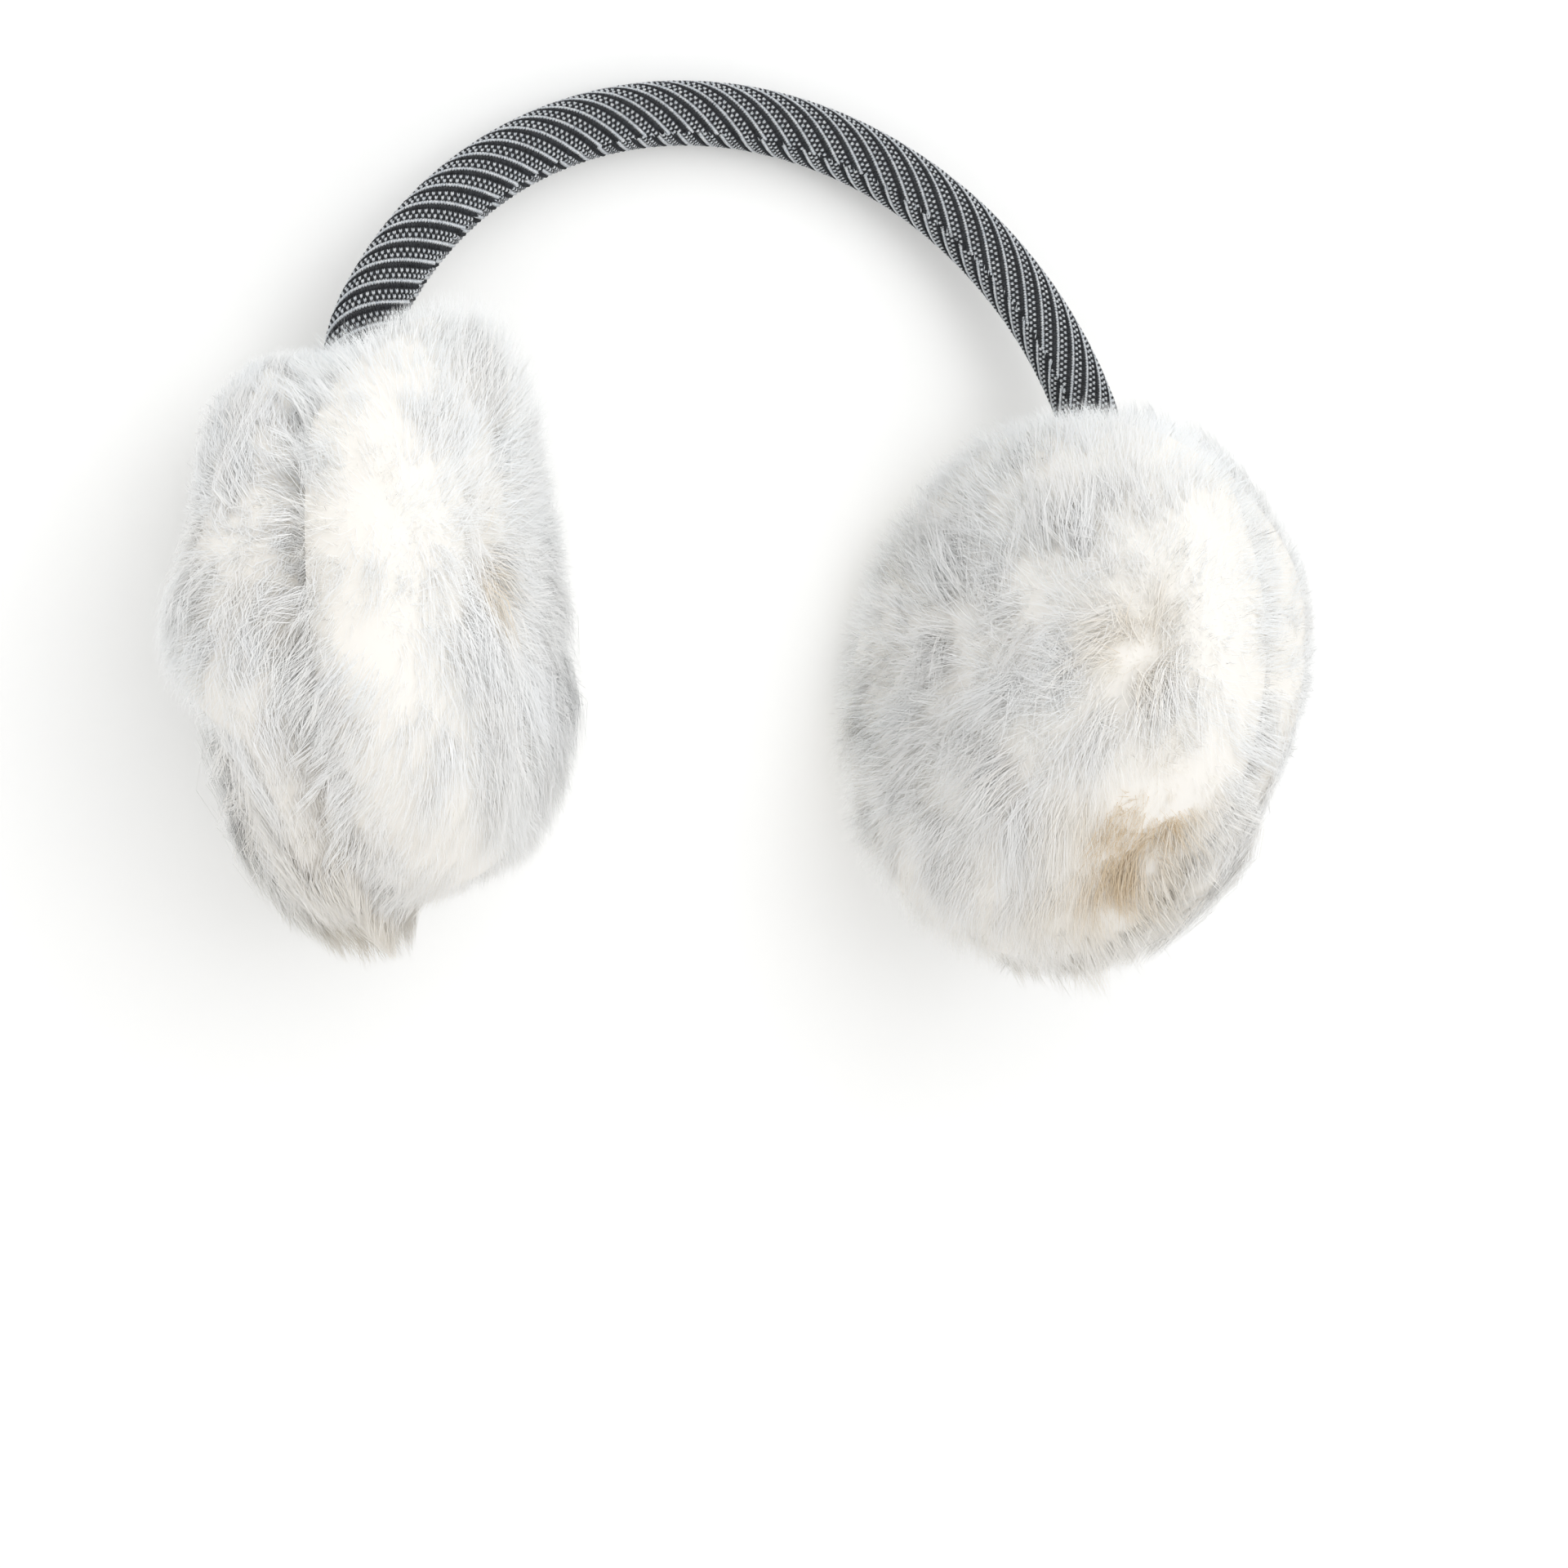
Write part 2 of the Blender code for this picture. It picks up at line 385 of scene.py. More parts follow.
def band_line(along):
    """The band's middle line so far from the crown, and the heading of it there."""
    far = np.abs(along)
    on_crown = np.minimum(far, CROWN_LENGTH) / CROWN_RADIUS
    on_bend = CROWN_ANGLE + np.clip(far - CROWN_LENGTH, 0, SHOULDER_LENGTH) / SHOULDER_RADIUS
    heading = np.where(far < CROWN_LENGTH, on_crown, on_bend)
    across = CROWN_RADIUS * np.sin(on_crown)
    across += SHOULDER_RADIUS * (np.sin(on_bend) - math.sin(CROWN_ANGLE))
    drop = CROWN_RADIUS * (1 - np.cos(on_crown))
    drop += SHOULDER_RADIUS * (math.cos(CROWN_ANGLE) - np.cos(on_bend))
    leg = np.maximum(far - CROWN_LENGTH - SHOULDER_LENGTH, 0)
    across += leg * np.cos(heading)
    drop += leg * np.sin(heading)
    return np.sign(along) * across, -drop, np.sign(along) * heading


def band_spots(along, round_it, radius):
    """Points on the band: round_it is the distance round it at BAND_RADIUS, from the
    crown's outside over the front to the inside."""
    across, height, heading = band_line(along)
    angle = round_it / BAND_RADIUS
    out = radius * np.cos(angle)
    spots = np.stack((across + out * np.sin(heading), -radius * np.sin(angle),
                      height + out * np.cos(heading)), axis=-1)
    return rest_on_table(moved(WORN, spots), BAND_SOFTNESS)


def rest_on_table(spots, softness):
    """Presses what would be below the table flat on it."""
    height = spots[..., 2]
    pressed = softness * np.exp((np.minimum(height, softness) - softness) / softness)
    spots[..., 2] = np.where(height < softness, pressed, height)
    return spots


def bias(along):
    """The angle of the courses to the band, and the height of a course there."""
    share = np.clip(along / CHANGE_LENGTH, -CHANGE_LIMIT, CHANGE_LIMIT)
    return BIAS_MIDDLE + BIAS_CHANGE * share, COURSE * (1 + COURSE_CHANGE * share)


def knit_lattice():
    """Each stitch's place on the band, its number along its course and the course's."""
    margin = 0.004
    end = STITCHED_HALF + 0.06
    fine = np.linspace(-end, end, 6001)
    angle, course = bias(fine)
    stride = fine[1] - fine[0]
    rows_to = np.cumsum(np.sin(angle) / course) * stride
    stitches_to = np.cumsum(np.cos(angle) / WALE) * stride
    low = (SEAM_ANGLE - 2 * math.pi) * BAND_RADIUS
    high = SEAM_ANGLE * BAND_RADIUS
    places = []
    reach = math.ceil(2 * math.pi * BAND_RADIUS / course.min())
    for row in range(-reach, int(rows_to[-1]) + reach):
        round_it = (rows_to - row) * course / np.cos(angle)
        inside = (round_it > low - margin) & (round_it < high + margin)
        if not inside.any():
            continue
        number = stitches_to + round_it * np.sin(angle) / WALE
        numbers = np.arange(math.ceil(number[inside].min()), int(number[inside].max()) + 1)
        along = np.interp(numbers, number[inside], fine[inside])
        turn = np.interp(along, fine, round_it)
        kept = (turn > low) & (turn < high) & (np.abs(along) < STITCHED_HALF)
        stitches = np.stack((along, turn, numbers, np.full(len(numbers), row)), axis=1)
        places.append(stitches[kept])
    return np.concatenate(places)


def stitch_legs(places, fullness, chance):
    """Both legs of each V-shaped stitch, as closed spindles of five points. Fullness
    is half the width of each stitch's legs, as a share of a wale."""
    angle, course = bias(places[:, 0])
    shapes = []
    for leg in (-1, 1):
        foot, head = (np.stack((leg * aside * WALE + 0 * course, ahead * course), axis=1)
                      for aside, ahead in (LEG_FOOT, LEG_HEAD))
        middle = (foot + head) / 2
        middle += chance.normal(0, 0.045, middle.shape) * WALE
        across = np.stack(((head - foot)[:, 1], (foot - head)[:, 0]), axis=1)
        side = unit(across) * (fullness * WALE)[:, None]
        shapes.append(np.stack((foot, middle - side, head, middle + side, middle), axis=1))
    shape = np.concatenate(shapes)
    angle = np.tile(angle, 2)[:, None]
    centre = np.tile(places[:, :2], (2, 1))[:, None, :]
    along = centre[..., 0] + shape[..., 0] * np.cos(angle) + shape[..., 1] * np.sin(angle)
    turn = centre[..., 1] + shape[..., 0] * np.sin(angle) - shape[..., 1] * np.cos(angle)
    puff = chance.normal(0, 0.00004, (len(shape), 1))
    radius = puff + (STITCH_BASE, CORE_RADIUS, STITCH_BASE, CORE_RADIUS, STITCH_TOP)
    return band_spots(along, turn, radius)


# a spindle's points are its ends (0 and 2), its sides (1 and 3) and its top (4)
SPINDLE_POINTS = 5
SPINDLE_FACES = np.array((
    (0, 4, 1),
    (1, 4, 2),
    (2, 4, 3),
    (3, 4, 0),
    (0, 1, 2),
    (0, 2, 3),
))


def spindle_mesh(name, spots, tones):
    """Spindles of five points each, with a tone of the yarn for each spindle."""
    count = len(spots)
    corners = (np.arange(count)[:, None] * SPINDLE_POINTS + SPINDLE_FACES.ravel()).ravel()
    sizes = np.full(count * len(SPINDLE_FACES), 3)
    maps = np.empty((count, SPINDLE_POINTS, 2))
    maps[..., 0] = tones[:, None] + np.array((0, -1, 0, 1, 0)) * 0.002
    maps[..., 1] = np.array((0.02, 0.5, 0.98, 0.55, 0.5))
    return make_mesh(name, spots.reshape(-1, 3), corners, sizes, maps.reshape(-1, 2))


def seam_stitches(chance):
    """Slanted whip stitches that close the cover along its seam."""
    along = np.arange(-STITCHED_HALF, STITCHED_HALF, SEAM_STEP)
    along = along + chance.normal(0, 0.00025, len(along))
    along = along[:, None]
    slant = 0.0011
    half_width = 0.00030
    reach = 0.0013
    shape = np.array((
        (-slant, -reach),
        (-half_width, 0.0),
        (slant, reach),
        (half_width, 0.0),
        (0.0, 0.0),
    ))
    top = STITCH_TOP + 0.0001
    radius = np.array((STITCH_BASE, CORE_RADIUS, STITCH_BASE, CORE_RADIUS, top))
    seam = SEAM_ANGLE * BAND_RADIUS
    return band_spots(along + shape[:, 0], seam + shape[:, 1] + 0 * along, radius + 0 * along)


def core_rings():
    """The padded core under the stitches, closed with a rounded end in each muff."""
    end = CROWN_LENGTH + SHOULDER_LENGTH
    end += LEG_TO_CENTRE + LEG_BELOW_CENTRE
    rounding = CORE_RADIUS / 2
    rings = np.linspace(-end + rounding, end - rounding, CORE_RINGS)
    radii = np.full(CORE_RINGS, CORE_RADIUS)
    for bend in np.linspace(0, math.pi / 2, 5)[1:]:
        extra = end - rounding + rounding * math.sin(bend)
        width = max(CORE_RADIUS * math.cos(bend), 0.0002)
        rings = np.concatenate(([-extra], rings, [extra]))
        radii = np.concatenate(([width], radii, [width]))
    return rings, radii


def core_mesh(name):
    """The core as rings of quads, closed at both ends."""
    rings, radii = core_rings()
    count = len(rings)
    here = np.arange(CORE_SIDES)
    after = (here + 1) % CORE_SIDES
    around = here / CORE_SIDES * 2 * math.pi * BAND_RADIUS
    spots = band_spots(rings[:, None] + 0 * around, around + 0 * rings[:, None], radii[:, None])
    quads = []
    for low in range(0, (count - 1) * CORE_SIDES, CORE_SIDES):
        high = low + CORE_SIDES
        quads.append(np.stack((low + here, low + after, high + after, high + here), axis=1))
    caps = np.concatenate((here, (count - 1) * CORE_SIDES + here[::-1]))
    corners = np.concatenate((np.concatenate(quads).ravel(), caps))
    sizes = np.full((count - 1) * CORE_SIDES, 4)
    sizes = np.concatenate((sizes, (CORE_SIDES, CORE_SIDES)))
    maps = np.stack((np.tile(here / CORE_SIDES, count),
                     np.repeat(np.arange(count) / count, CORE_SIDES)), axis=1)
    return make_mesh(name, spots.reshape(-1, 3), corners, sizes, maps)


def yarn_finish(name, darkest, lightest):
    """Yarn whose tone varies from stitch to stitch: a stitch's tone is read from its
    place on the map, and fine slanted darker lines are painted shade in the grooves between its
    plies."""
    yarn = Finish(name)
    tone, along = yarn.baking_map()
    stops = ((0.0, from_screen(*darkest)), (1.0, from_screen(*lightest)))
    colour = yarn.node("ShaderNodeValToRGB", {"stops": stops}, tone)
    turns = 18
    shift = 700
    # fine slanted lines of painted shade, where the grooves between the plies lie
    ply_groove_shade = yarn.node("ShaderNodeMath", {"operation": "SINE"}, along * turns + tone * shift)
    shade = yarn.mix(0.10 + ply_groove_shade * 0.10, colour, (0.0, 0.0, 0.0))
    return yarn.surface(Base_Color=shade, Roughness=0.85, Specular_IOR_Level=0.25,
                        Sheen_Weight=0.15, Sheen_Roughness=0.5)


def make_headband():
    chance = np.random.default_rng(KNIT_SEED)
    places = knit_lattice()
    rows = places[:, 3].astype(int) % len(STRIPE_CHART)
    light = np.array(STRIPE_CHART)[rows, places[:, 2].astype(int) % 2] == 1
    fullness = np.where(light, LIGHT_FULLNESS, DARK_FULLNESS)
    fullness = fullness * chance.uniform(0.88, 1.15, len(light))
    legs = stitch_legs(places, fullness, chance)
    light = np.tile(light, 2)
    tones = chance.uniform(0.05, 0.95, len(legs))
    light_yarn = yarn_finish("light grey yarn", (214, 220, 226), (246, 248, 250))
    dark_yarn = yarn_finish("charcoal yarn", (34, 35, 38), (66, 69, 74))
    closing = seam_stitches(chance)
    closing_tones = chance.uniform(0.0, 0.7, len(closing))
    light_seam = chance.random(len(closing)) < 0.6
    for name, kept, seam, finish in (
            ("knit_light_stitches", light, light_seam, light_yarn),
            ("knit_dark_stitches", ~light, ~light_seam, dark_yarn)):
        spots = np.concatenate((legs[kept], closing[seam]))
        shades = np.concatenate((tones[kept], closing_tones[seam]))
        mesh = spindle_mesh(name, spots, shades)
        piece = make_piece(name, mesh, finish, "headband")
    core = make_piece("knit_core", core_mesh("knit_core"), dark_yarn, "headband")


# the fur

def even_places(count):
    """Places from the hide's pole (0) to its rim (1) that share its area evenly."""
    end = math.pi / 2 + math.asin(RIM_STEP_BACK / HIDE_DEPTH)
    fall = np.linspace(0, end, 600)
    ring = np.sin(fall) * np.hypot(HIDE_RADIUS * np.cos(fall), HIDE_DEPTH * np.sin(fall))
    area = np.cumsum(ring)
    return np.interp((np.arange(count) + 0.5) / count * area[-1], area, fall / end)


def dome_spots(place, turn, depth, front, up, fullness=2.0):
    """Points on a dome over the muff's middle plane, X outwards. Fullness is 2 for
    a round dome, and more for one that is squarer between its pole and its rim."""
    fall = place * (math.pi / 2 + math.asin(RIM_STEP_BACK / depth))
    over = np.cos(fall)
    spread = np.sin(fall)
    swell = (np.abs(over) ** fullness + np.abs(spread) ** fullness) ** (-1 / fullness)
    near_pole = fall < math.pi / 2
    out = np.where(near_pole, (depth - RIM_STEP_BACK) * over * swell, depth * over)
    spread = np.where(near_pole, spread * swell, spread)
    return np.stack((RIM_STEP_BACK + out, front * spread * np.cos(turn),
                     up * spread * np.sin(turn)), axis=-1)


def dome_normals(spots, depth, front, up):
    """The outward direction of a dome's surface at points on or near it."""
    out = (spots[..., 0] - RIM_STEP_BACK) / depth ** 2
    ways = np.stack((out, spots[..., 1] / front ** 2, spots[..., 2] / up ** 2), axis=-1)
    return unit(ways)


def scattered(count, shift, chance):
    """Places spread evenly over the hide and then moved a little: to the back and up."""
    place = even_places(count)
    turn = np.arange(count) * GOLDEN
    u = place * np.cos(turn) + chance.normal(0, shift, count)
    v = place * np.sin(turn) + chance.normal(0, shift, count)
    return u, v


def polar(u, v):
    """A place on the muff's disc as its distance from the middle and its turn."""
    return np.hypot(u, v), np.arctan2(v, u)


def bump_at(u, v, centre, width):
    """A soft round bump on the muff's disc, 1 high at its centre."""
    return np.exp(-((u - centre[0]) ** 2 + (v - centre[1]) ** 2) / (2 * width ** 2))


def rim_share(place, start):
    """How far places are on their way from start (0) to the rim (1)."""
    return np.clip(place - start, 0, 1 - start) / (1 - start)


class FurHalf:
    """Half of a muff: the direction of its fur, how far it reaches and its tones.

    way is 1 for the outer half and -1 for the inner one. long scales the fur and drop
    lowers its underside. The fur is combed away from the whorl, and sag turns it down.
    rim_lean takes the rim away from the middle plane, groove draws in the rim's front,
    and ragged shortens some wisps of it. low_tint_and_shade makes the lower fur beige,
    partly the fur's own beige tint and partly painted warm shade on its underside. lifts
    are swells and hollows, and tint_and_shade_patches are beige patches, partly the fur's
    own tint and partly painted shade in its dimples and on its lower front: a centre, a
    width and a strength."""

    def __init__(self, name, side, way, long, drop, seed, whorl, comb, sag, rim_lean,
                 groove, ragged, low_tint_and_shade, lifts, tint_and_shade_patches):
        self.name = name
        self.side = side
        self.way = way
        self.long = long
        self.drop = drop
        self.chance = np.random.default_rng(seed)
        self.whorl = whorl
        self.comb = comb
        self.sag = sag
        self.rim_lean = rim_lean
        self.groove = groove
        self.ragged = ragged
        self.low_tint_and_shade = low_tint_and_shade
        self.lifts = lifts
        self.tint_and_shade_patches = tint_and_shade_patches

    def envelope(self, u, v):
        """Where the fur's tips end: u to the back and v up, both 1 at the rim."""
        place, turn = polar(u, v)
        past_rim = np.maximum(place - 1.0, 0.0)
        on_disc = np.minimum(place, 1.0)
        tip = dome_spots(on_disc, turn, *FUR_SURFACE, FUR_FULLNESS) * self.long
        tip[..., 1:] *= (1 + RIM_SPREAD * past_rim)[..., None]
        low = np.maximum(0.0, -np.sin(turn)) * on_disc
        tip[..., 2] -= FUR_RADIUS_UP * self.drop * low ** 2
        tip[..., 0] = np.maximum(tip[..., 0], -TIPS_PAST_MIDDLE)
        tip[..., 0] += self.rim_lean * rim_share(place, LEAN_FROM)
        at_front = np.clip(0.1 - 1.3 * np.cos(turn), 0, 1)
        edge = rim_share(place, GROOVE_FROM) * at_front
        tip[..., 1:] *= 1 - GROOVE_DEPTH * self.groove * edge[..., None] ** 2
        swell = np.zeros_like(u)
        for centre, width, lift in self.lifts:
            swell += lift * bump_at(u, v, centre, width)
        return tip + dome_normals(tip, *FUR_SURFACE) * swell[..., None]

    def combed(self, u, v):
        """Where a hair that grows at u, v has its tip: away from the whorl and down."""
        away_u = u - self.whorl[0]
        away_v = v - self.whorl[1]
        far = np.hypot(away_u, away_v)
        push = self.comb * far / (far + 0.25) / np.maximum(far, 1e-6)
        return u + away_u * push, v + away_v * push - self.sag

    def roots(self, u, v):
        """Points on the skin, which ends at the muff's middle plane."""
        place, turn = polar(u, v)
        hide = dome_spots(np.minimum(place, 1.0), turn, *HIDE)
        hide[..., 0] = np.maximum(hide[..., 0], 0.0)
        return hide

    def laid(self, spots, *ways):
        """Points and directions of this half where the muff lies on the table."""
        mirror = np.array((self.side * self.way, 1, 1))
        place = muff_frame(self.side)
        spots = rest_on_table(moved(place, spots * mirror), FUR_SOFTNESS)
        return spots, *(turned(place, way * mirror) for way in ways)


def clear_of_band(spots):
    """Keeps the fur out of the band, which comes down the muff's middle plane."""
    reach = BAND_RADIUS + 0.0006
    far = np.hypot(spots[..., 0], spots[..., 1])
    inside = (far < reach) & (spots[..., 2] > -LEG_BELOW_CENTRE)
    grow = np.where(inside, reach / np.maximum(far, 1e-5), 1.0)
    spots[..., 0] *= grow
    spots[..., 1] *= grow
    return spots


def hair_paths(root, bend, tip):
    """Points along each hair, from its root over its bend to its tip."""
    t = STEPS_ALONG[None, :, None]
    return (1 - t) ** 2 * root[:, None] + 2 * t * (1 - t) * bend[:, None] + t ** 2 * tip[:, None]


def nearest(u, v, centres_u, centres_v):
    """The number of the nearest centre to each place."""
    tree = KDTree(len(centres_u))
    for number, (centre_u, centre_v) in enumerate(zip(centres_u, centres_v)):
        tree.insert((centre_u, centre_v, 0.0), number)
    tree.balance()
    return np.array([tree.find((a, b, 0.0))[1] for a, b in zip(u, v)])


def tip_places(half, u, v, lock, wisp, wisp_u, wisp_v):
    """Where the hairs' tips are on the disc. Each lock and each wisp leans its own way,
    and the hairs of a wisp draw together."""
    chance = half.chance
    lock_lean = chance.normal(0, LOCK_LEAN, (2, LOCKS))
    wisp_lean = chance.normal(0, WISP_LEAN, (2, WISPS))
    lean = lock_lean[:, lock] + wisp_lean[:, wisp]
    drawn = chance.uniform(*WISP_DRAW, STRANDS)
    tip_u, tip_v = half.combed(u, v)
    middle_u, middle_v = half.combed(wisp_u, wisp_v)
    tip_u += (middle_u[wisp] - tip_u) * drawn + lean[0]
    tip_v += (middle_v[wisp] - tip_v) * drawn + lean[1]
    tip_u += chance.normal(0, HAIR_LEAN, STRANDS)
    tip_v += chance.normal(0, HAIR_LEAN, STRANDS)
    return tip_u, tip_v


def hair_lengths(chance, lock, wisp):
    """Each hair's length, as a share of the way to the fur's surface."""
    lock_long = chance.uniform(0.94, 1.04, LOCKS)
    wisp_long = chance.normal(1.0, 0.02, WISPS)
    hair_long = 1.05 - 0.17 * chance.random(STRANDS) ** 1.8
    return lock_long[lock] * wisp_long[wisp] * hair_long


def hair_tones(half, u, v, lock):
    """Each hair's place on the fur's colour ramp, from cool white to beige."""
    chance = half.chance
    lower = np.clip(-v - 0.1, 0, 1)
    painted_cool_top = np.clip(v - 0.3, 0, 1)
    # the top is painted a cooler white, as if lit from above; the lower fur turns beige, partly
    # its own tint and partly painted warm shade
    warm = 0.28 + half.low_tint_and_shade * lower - 0.2 * painted_cool_top
    warm += chance.normal(0, 0.05, STRANDS) + chance.normal(0, 0.04, LOCKS)[lock]
    # the beige patches are partly the fur's own tint and partly painted shade in dimples and on
    # the lower front
    for centre, width, strength in half.tint_and_shade_patches:
        warm += strength * bump_at(u, v, centre, width)
    return np.clip(warm, 0.01, 0.99)


def fur_strands(half):
    """Points, outward and shading directions and tones of all hairs of half a muff."""
    chance = half.chance
    u, v = scattered(STRANDS, HAIR_SHIFT, chance)
    lock_u, lock_v = scattered(LOCKS, LOCK_SHIFT, chance)
    wisp_u, wisp_v = scattered(WISPS, WISP_SHIFT, chance)
    lock = nearest(u + chance.normal(0, LOCK_BLUR, STRANDS),
                   v + chance.normal(0, LOCK_BLUR, STRANDS), lock_u, lock_v)
    wisp = nearest(u, v, wisp_u, wisp_v)
    tip_u, tip_v = tip_places(half, u, v, lock, wisp, wisp_u, wisp_v)
    long = hair_lengths(chance, lock, wisp)

    root = half.roots(u, v)
    tip = half.envelope(tip_u, tip_v)
    near_rim = rim_share(np.hypot(u, v), SHORT_FROM)
    tip[:, 0] -= half.ragged * near_rim * chance.random(WISPS)[wisp] ** 3
    tip = root + (tip - root) * long[:, None]
    up = dome_normals(root + (RIM_STEP_BACK, 0, 0), *HIDE)
    reach = np.linalg.norm(tip - root, axis=1, keepdims=True)
    bend = root + up * reach * BEND_UP + (tip - root) * BEND_ALONG
    bend += chance.normal(0, BEND_SHIFT, (STRANDS, 3))
    start = root + (bend - root) * (HAIR_START - RIM_START * near_rim)[:, None]
    paths = clear_of_band(hair_paths(start, bend, tip))

    # the shading turns away from the middle of each lock, which rounds the lock
    outward = dome_normals(paths, *FUR_SURFACE)
    puff = np.stack((u - lock_u[lock], v - lock_v[lock]), axis=1) / LOCK_SIZE
    shading = outward.copy()
    shading[..., 1:] += puff[:, None] * LOCK_ROUNDNESS
    paths, outward, shading = half.laid(paths, outward, unit(shading))
    return paths, outward, shading, hair_tones(half, u, v, lock)


def ribbon_mesh(name, paths, outward, shading, tones, chance):
    """Each hair as a flat tapered ribbon that faces outwards, give or take a turn. Its
    points are a left and a right one for each step but the last, and then its tip."""
    count = len(paths)
    last = len(STEPS_ALONG) - 1
    points = 2 * last + 1
    left = slice(0, -1, 2)
    right = slice(1, -1, 2)

    ways = unit(np.gradient(paths, axis=1))
    flat = unit(np.cross(outward, ways))
    roll = chance.uniform(-HAIR_ROLL, HAIR_ROLL, (count, 1, 1))
    flat = flat * np.cos(roll) + np.cross(ways, flat) * np.sin(roll)
    widths = STEP_WIDTHS * STRAND_WIDTH * chance.uniform(0.7, 1.25, (count, 1))
    front = np.cross(ways, flat)
    facing = np.clip(np.sum(front * outward, axis=-1, keepdims=True), 0, 1)
    shading = unit(shading * facing + front * (1.001 - facing))

    offset = flat[:, :last] * widths[..., None] / 2
    spots = np.empty((count, points, 3))
    spots[:, left] = paths[:, :last] - offset
    spots[:, right] = paths[:, :last] + offset
    spots[:, -1] = paths[:, last]
    spots[..., 2] = np.maximum(spots[..., 2], OVER_TABLE)
    normals = np.empty((count, points, 3))
    normals[:, left] = shading[:, :last] - flat[:, :last] * HAIR_ROUNDNESS
    normals[:, right] = shading[:, :last] + flat[:, :last] * HAIR_ROUNDNESS
    normals[:, -1] = shading[:, last]

    quads = [(low, low + 2, low + 3, low + 1) for low in range(0, points - 3, 2)]
    faces = np.array(sum(quads, ()) + (points - 3, points - 1, points - 2))
    corners = (np.arange(count)[:, None] * points + faces).ravel()
    sizes = np.tile([4] * len(quads) + [3], count)
    maps = np.empty((count, points, 2))
    maps[:, left, 0] = (tones - 0.002)[:, None]
    maps[:, right, 0] = (tones + 0.002)[:, None]
    maps[:, -1, 0] = tones
    maps[:, left, 1] = STEPS_ALONG[:last]
    maps[:, right, 1] = STEPS_ALONG[:last]
    maps[:, -1, 1] = 1.0
    return make_mesh(name, spots.reshape(-1, 3), corners, sizes, maps.reshape(-1, 2),
                     unit(normals).reshape(-1, 3))


def fur_finish():
    """White fur: a hair's tone is read from its place on the map, and its root is
    a little darker."""
    fur = Finish("white fur")
    tone, along = fur.baking_map()
    # the cool white end is painted cool light on the fur's top, and the beige end is both the
    # fur's own beige tint and painted warm shade
    colour = fur.node("ShaderNodeValToRGB", {"stops": (
        (0.00, from_screen(248, 252, 255)),
        (0.35, from_screen(254, 254, 253)),
        (0.60, from_screen(247, 242, 233)),
        (1.00, from_screen(219, 198, 165)),
    )}, tone)
    shade = fur.mix((1 - along) ** 1.5 * 0.35, colour, from_screen(240, 234, 224))
    return fur.surface(Base_Color=shade, Roughness=0.8, Specular_IOR_Level=0.2,
                       Sheen_Weight=0.1, Sheen_Roughness=0.6)


def undercoat_dome(half):
    """Rings of points on the dense undercoat, a dome some way up the fur."""
    turns = np.arange(COAT_SIDES) / COAT_SIDES * 2 * math.pi
    place, turn = np.meshgrid(np.linspace(0, 1, COAT_RINGS), turns, indexing="ij")
    u = place * np.cos(turn)
    v = place * np.sin(turn)
    hide = half.roots(u, v)
    share = UNDERCOAT_SHARE - GROOVE_THINNING * rim_share(place, THIN_FROM) * half.groove
    dome = hide + (half.envelope(u, v) - hide) * share[..., None]
    dome[..., 0] = np.maximum(dome[..., 0], COAT_OFF_MIDDLE)
    dome[-1, :, 0] = COAT_OFF_MIDDLE
    return dome


def undercoat_mesh(name, half):
    """The undercoat's dome, closed by a disc at the muff's middle plane, with a groove
    for the band."""
    dome = undercoat_dome(half)
    shrink = np.linspace(0, 1, DISC_RINGS + 2)[1:-1][::-1]
    disc = dome[-1][None] * shrink[:, None, None]
    spots = np.concatenate((dome[1:], disc))
    reach = BAND_RADIUS + 0.0004
    lift = np.sqrt(np.maximum(reach ** 2 - spots[..., 1] ** 2, 0))
    grooved = (spots[..., 2] > -LEG_BELOW_CENTRE) & (spots[..., 0] < lift)
    spots[..., 0] = np.where(grooved, lift, spots[..., 0])
    layers = len(spots)

    # after the rings come the dome's pole and the disc's middle, over the band
    disc_middle = (BAND_RADIUS + 0.0011, 0.0, 0.0)
    spots = np.concatenate((spots.reshape(-1, 3), dome[0, :1], [disc_middle]))
    shading = dome_normals(spots, *FUR_SURFACE)
    pole = layers * COAT_SIDES
    shading[(COAT_RINGS - 1) * COAT_SIDES:pole] = (-1, 0, 0)
    shading[pole + 1] = (-1, 0, 0)
    spots, shading = half.laid(spots, shading)

    here = np.arange(COAT_SIDES)
    after = (here + 1) % COAT_SIDES
    quads = []
    for low in range(0, pole - COAT_SIDES, COAT_SIDES):
        high = low + COAT_SIDES
        quads.append(np.stack((low + here, high + here, high + after, low + after), axis=1))
    quads = np.concatenate(quads)
    inmost = pole - COAT_SIDES
    top = np.stack((np.full(COAT_SIDES, pole), here, after), axis=1)
    bottom = np.stack((np.full(COAT_SIDES, pole + 1), inmost + after, inmost + here), axis=1)
    if half.side * half.way < 0:
        quads = quads[:, ::-1]
        top = top[:, ::-1]
        bottom = bottom[:, ::-1]
    corners = np.concatenate((quads.ravel(), top.ravel(), bottom.ravel()))
    sizes = np.repeat((4, 3), (len(quads), 2 * COAT_SIDES))
    maps = np.stack((0.45 + np.linspace(0, 0.1, len(spots)),
                     np.resize((0.45, 0.55), len(spots))), axis=1)
    return make_mesh(name, spots, corners, sizes, maps, shading)
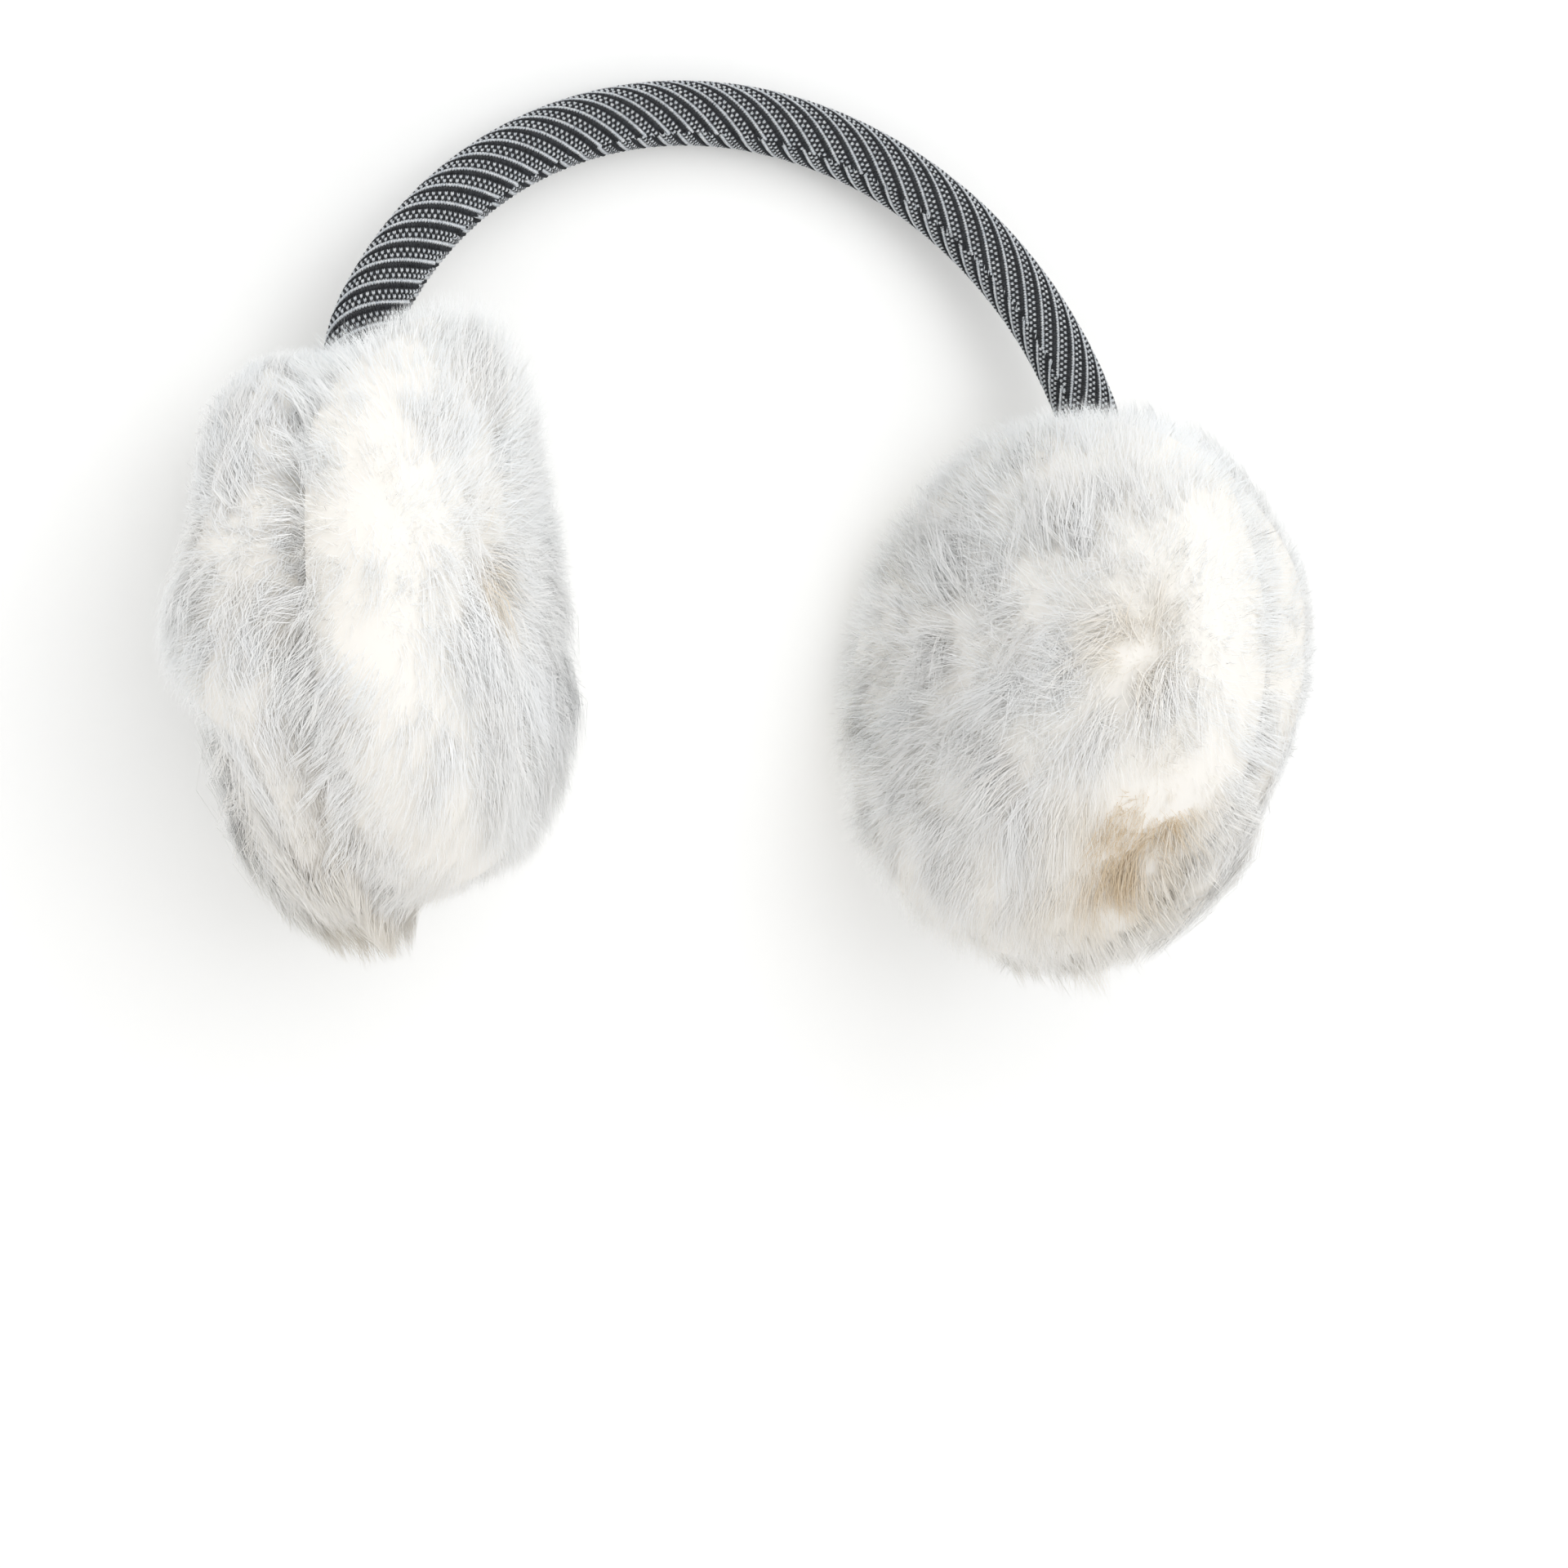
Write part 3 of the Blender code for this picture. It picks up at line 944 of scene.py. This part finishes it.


# the wearer's right muff is the near one, on the left of the photograph; centres are
# (to the back, up) on the dome's disc, widths are shares of it, lifts are metres
# each half's lower beige and its beige patches are partly the fur's own tint and partly painted
# shade: warm shade underneath, and shade in dimples and on the lower front
FUR_HALVES = (
    FurHalf("outer_fur_right", side=-1, way=1, long=0.94, drop=0.06, seed=21,
            whorl=(-0.75, 0.15), comb=0.09, sag=0.02,
            rim_lean=0.003, groove=1.0, ragged=0.0, low_tint_and_shade=0.30,
            lifts=(((-0.42, 0.25), 0.26, -0.009), ((-0.36, -0.08), 0.13, 0.006),
                   ((-0.30, -0.40), 0.15, -0.022), ((-0.10, -0.60), 0.18, -0.006),
                   ((0.30, -0.85), 0.25, 0.008), ((-1.0, 0.0), 0.26, -0.006)),
            tint_and_shade_patches=()),
    FurHalf("inner_fur_right", side=-1, way=-1, long=1.00, drop=-0.05, seed=22,
            whorl=(-0.63, 0.10), comb=0.10, sag=0.04,
            rim_lean=0.0, groove=0.3, ragged=0.014, low_tint_and_shade=0.16,
            lifts=(((-0.3, 0.9), 0.20, -0.006), ((-0.1, 0.6), 0.20, 0.009),
                   ((0.25, 0.15), 0.28, -0.002), ((0.25, -0.35), 0.20, -0.001),
                   ((0.15, -0.66), 0.20, -0.011), ((-0.32, 0.01), 0.08, -0.009)),
            tint_and_shade_patches=(((-0.33, 0.04), 0.040, 0.6),)),
    FurHalf("outer_fur_left", side=1, way=1, long=0.95, drop=0.05, seed=23,
            whorl=(-0.6, 0.0), comb=0.08, sag=0.03,
            rim_lean=0.0, groove=0.3, ragged=0.006, low_tint_and_shade=0.20,
            lifts=(((-0.2, 0.9), 0.20, 0.013), ((-0.53, 0.0), 0.16, -0.005),
                   ((-0.45, -0.32), 0.16, -0.014), ((-0.15, -0.35), 0.22, -0.011)),
            tint_and_shade_patches=()),
    FurHalf("inner_fur_left", side=1, way=-1, long=1.00, drop=0.03, seed=24,
            whorl=(-0.51, -0.01), comb=0.07, sag=0.03,
            rim_lean=-0.004, groove=0.15, ragged=0.012, low_tint_and_shade=0.20,
            lifts=(((-0.48, -0.01), 0.09, -0.010), ((-0.6, 0.7), 0.25, 0.006),
                   ((-0.62, -0.22), 0.14, 0.004), ((-0.48, -0.55), 0.15, -0.012)),
            tint_and_shade_patches=(((-0.46, 0.01), 0.08, 0.38), ((-0.47, -0.42), 0.11, 0.75),
                    ((-0.40, -0.64), 0.14, 0.35))),
)


def make_fur():
    finish = fur_finish()
    for half in FUR_HALVES:
        name = half.name + "_strands"
        mesh = ribbon_mesh(name, *fur_strands(half), half.chance)
        make_piece(name, mesh, finish, half.name)
        name = half.name + "_undercoat"
        make_piece(name, undercoat_mesh(name, half), finish, half.name)


# the photograph's camera, light and floor

def make_camera():
    level = math.cos(VIEW_ELEVATION)
    back = Vector((math.sin(VIEW_AZIMUTH) * level, -math.cos(VIEW_AZIMUTH) * level,
                   math.sin(VIEW_ELEVATION)))
    right = Vector((math.cos(VIEW_AZIMUTH), math.sin(VIEW_AZIMUTH), 0.0))
    up = back.cross(right)
    place = VIEW_CENTRE + VIEW_DISTANCE * back
    aim = VIEW_CENTRE + AIM_RIGHT * right + AIM_UP * up
    away = (place - aim).normalized()
    across = Vector((0.0, 0.0, 1.0)).cross(away).normalized()
    axes = Matrix((across, away.cross(across), away)).transposed().to_4x4()
    lens = bpy.data.cameras.new("photograph_view")
    lens.lens = LENS
    lens.sensor_width = SENSOR
    camera = bpy.data.objects.new("photograph_view", lens)
    camera.matrix_world = WORN @ Matrix.Translation(place) @ axes
    bpy.context.scene.collection.objects.link(camera)
    bpy.context.scene.camera = camera


def area_light(name, place, size, power, colour):
    """A square light that shines on the muffs."""
    lamp = bpy.data.lights.new(name, "AREA")
    lamp.shape = "SQUARE"
    lamp.size = size
    lamp.energy = power
    lamp.color = colour
    light = bpy.data.objects.new(name, lamp)
    away = (Vector(place) - LIGHTS_AIM).normalized()
    turn = away.to_track_quat("Z", "Y").to_matrix().to_4x4()
    light.matrix_world = Matrix.Translation(place) @ turn
    bpy.context.scene.collection.objects.link(light)


def make_studio():
    scene = bpy.context.scene
    scene.view_settings.view_transform = "Standard"
    world = bpy.data.worlds.new("studio")
    world.use_nodes = True
    sky = world.node_tree.nodes["Background"]
    sky.inputs["Color"].default_value = (0.995, 0.997, 1.0, 1.0)
    sky.inputs["Strength"].default_value = 0.70
    scene.world = world
    area_light("key", place=(0.0, 0.7, 1.4), size=1.5, power=11.5, colour=(0.985, 0.993, 1.0))
    area_light("fill", place=(-0.5, -1.1, 0.9), size=1.2, power=2, colour=(1.0, 0.96, 0.90))

    paper = Finish("white paper")
    grain = paper.node("ShaderNodeTexNoise", {"noise_dimensions": "3D"}, Scale=40.0)
    shade = paper.mix(grain * 0.04, from_screen(245, 245, 244), from_screen(232, 232, 230))
    surface = paper.surface(Base_Color=shade, Roughness=0.9, Emission_Color=shade,
                            Emission_Strength=0.16)
    bpy.ops.mesh.primitive_plane_add(size=14.0, location=(0, 0, 0))
    floor = bpy.context.active_object
    floor.name = "floor"
    floor.data.materials.append(surface)


make_camera()
make_studio()
make_headband()
make_fur()
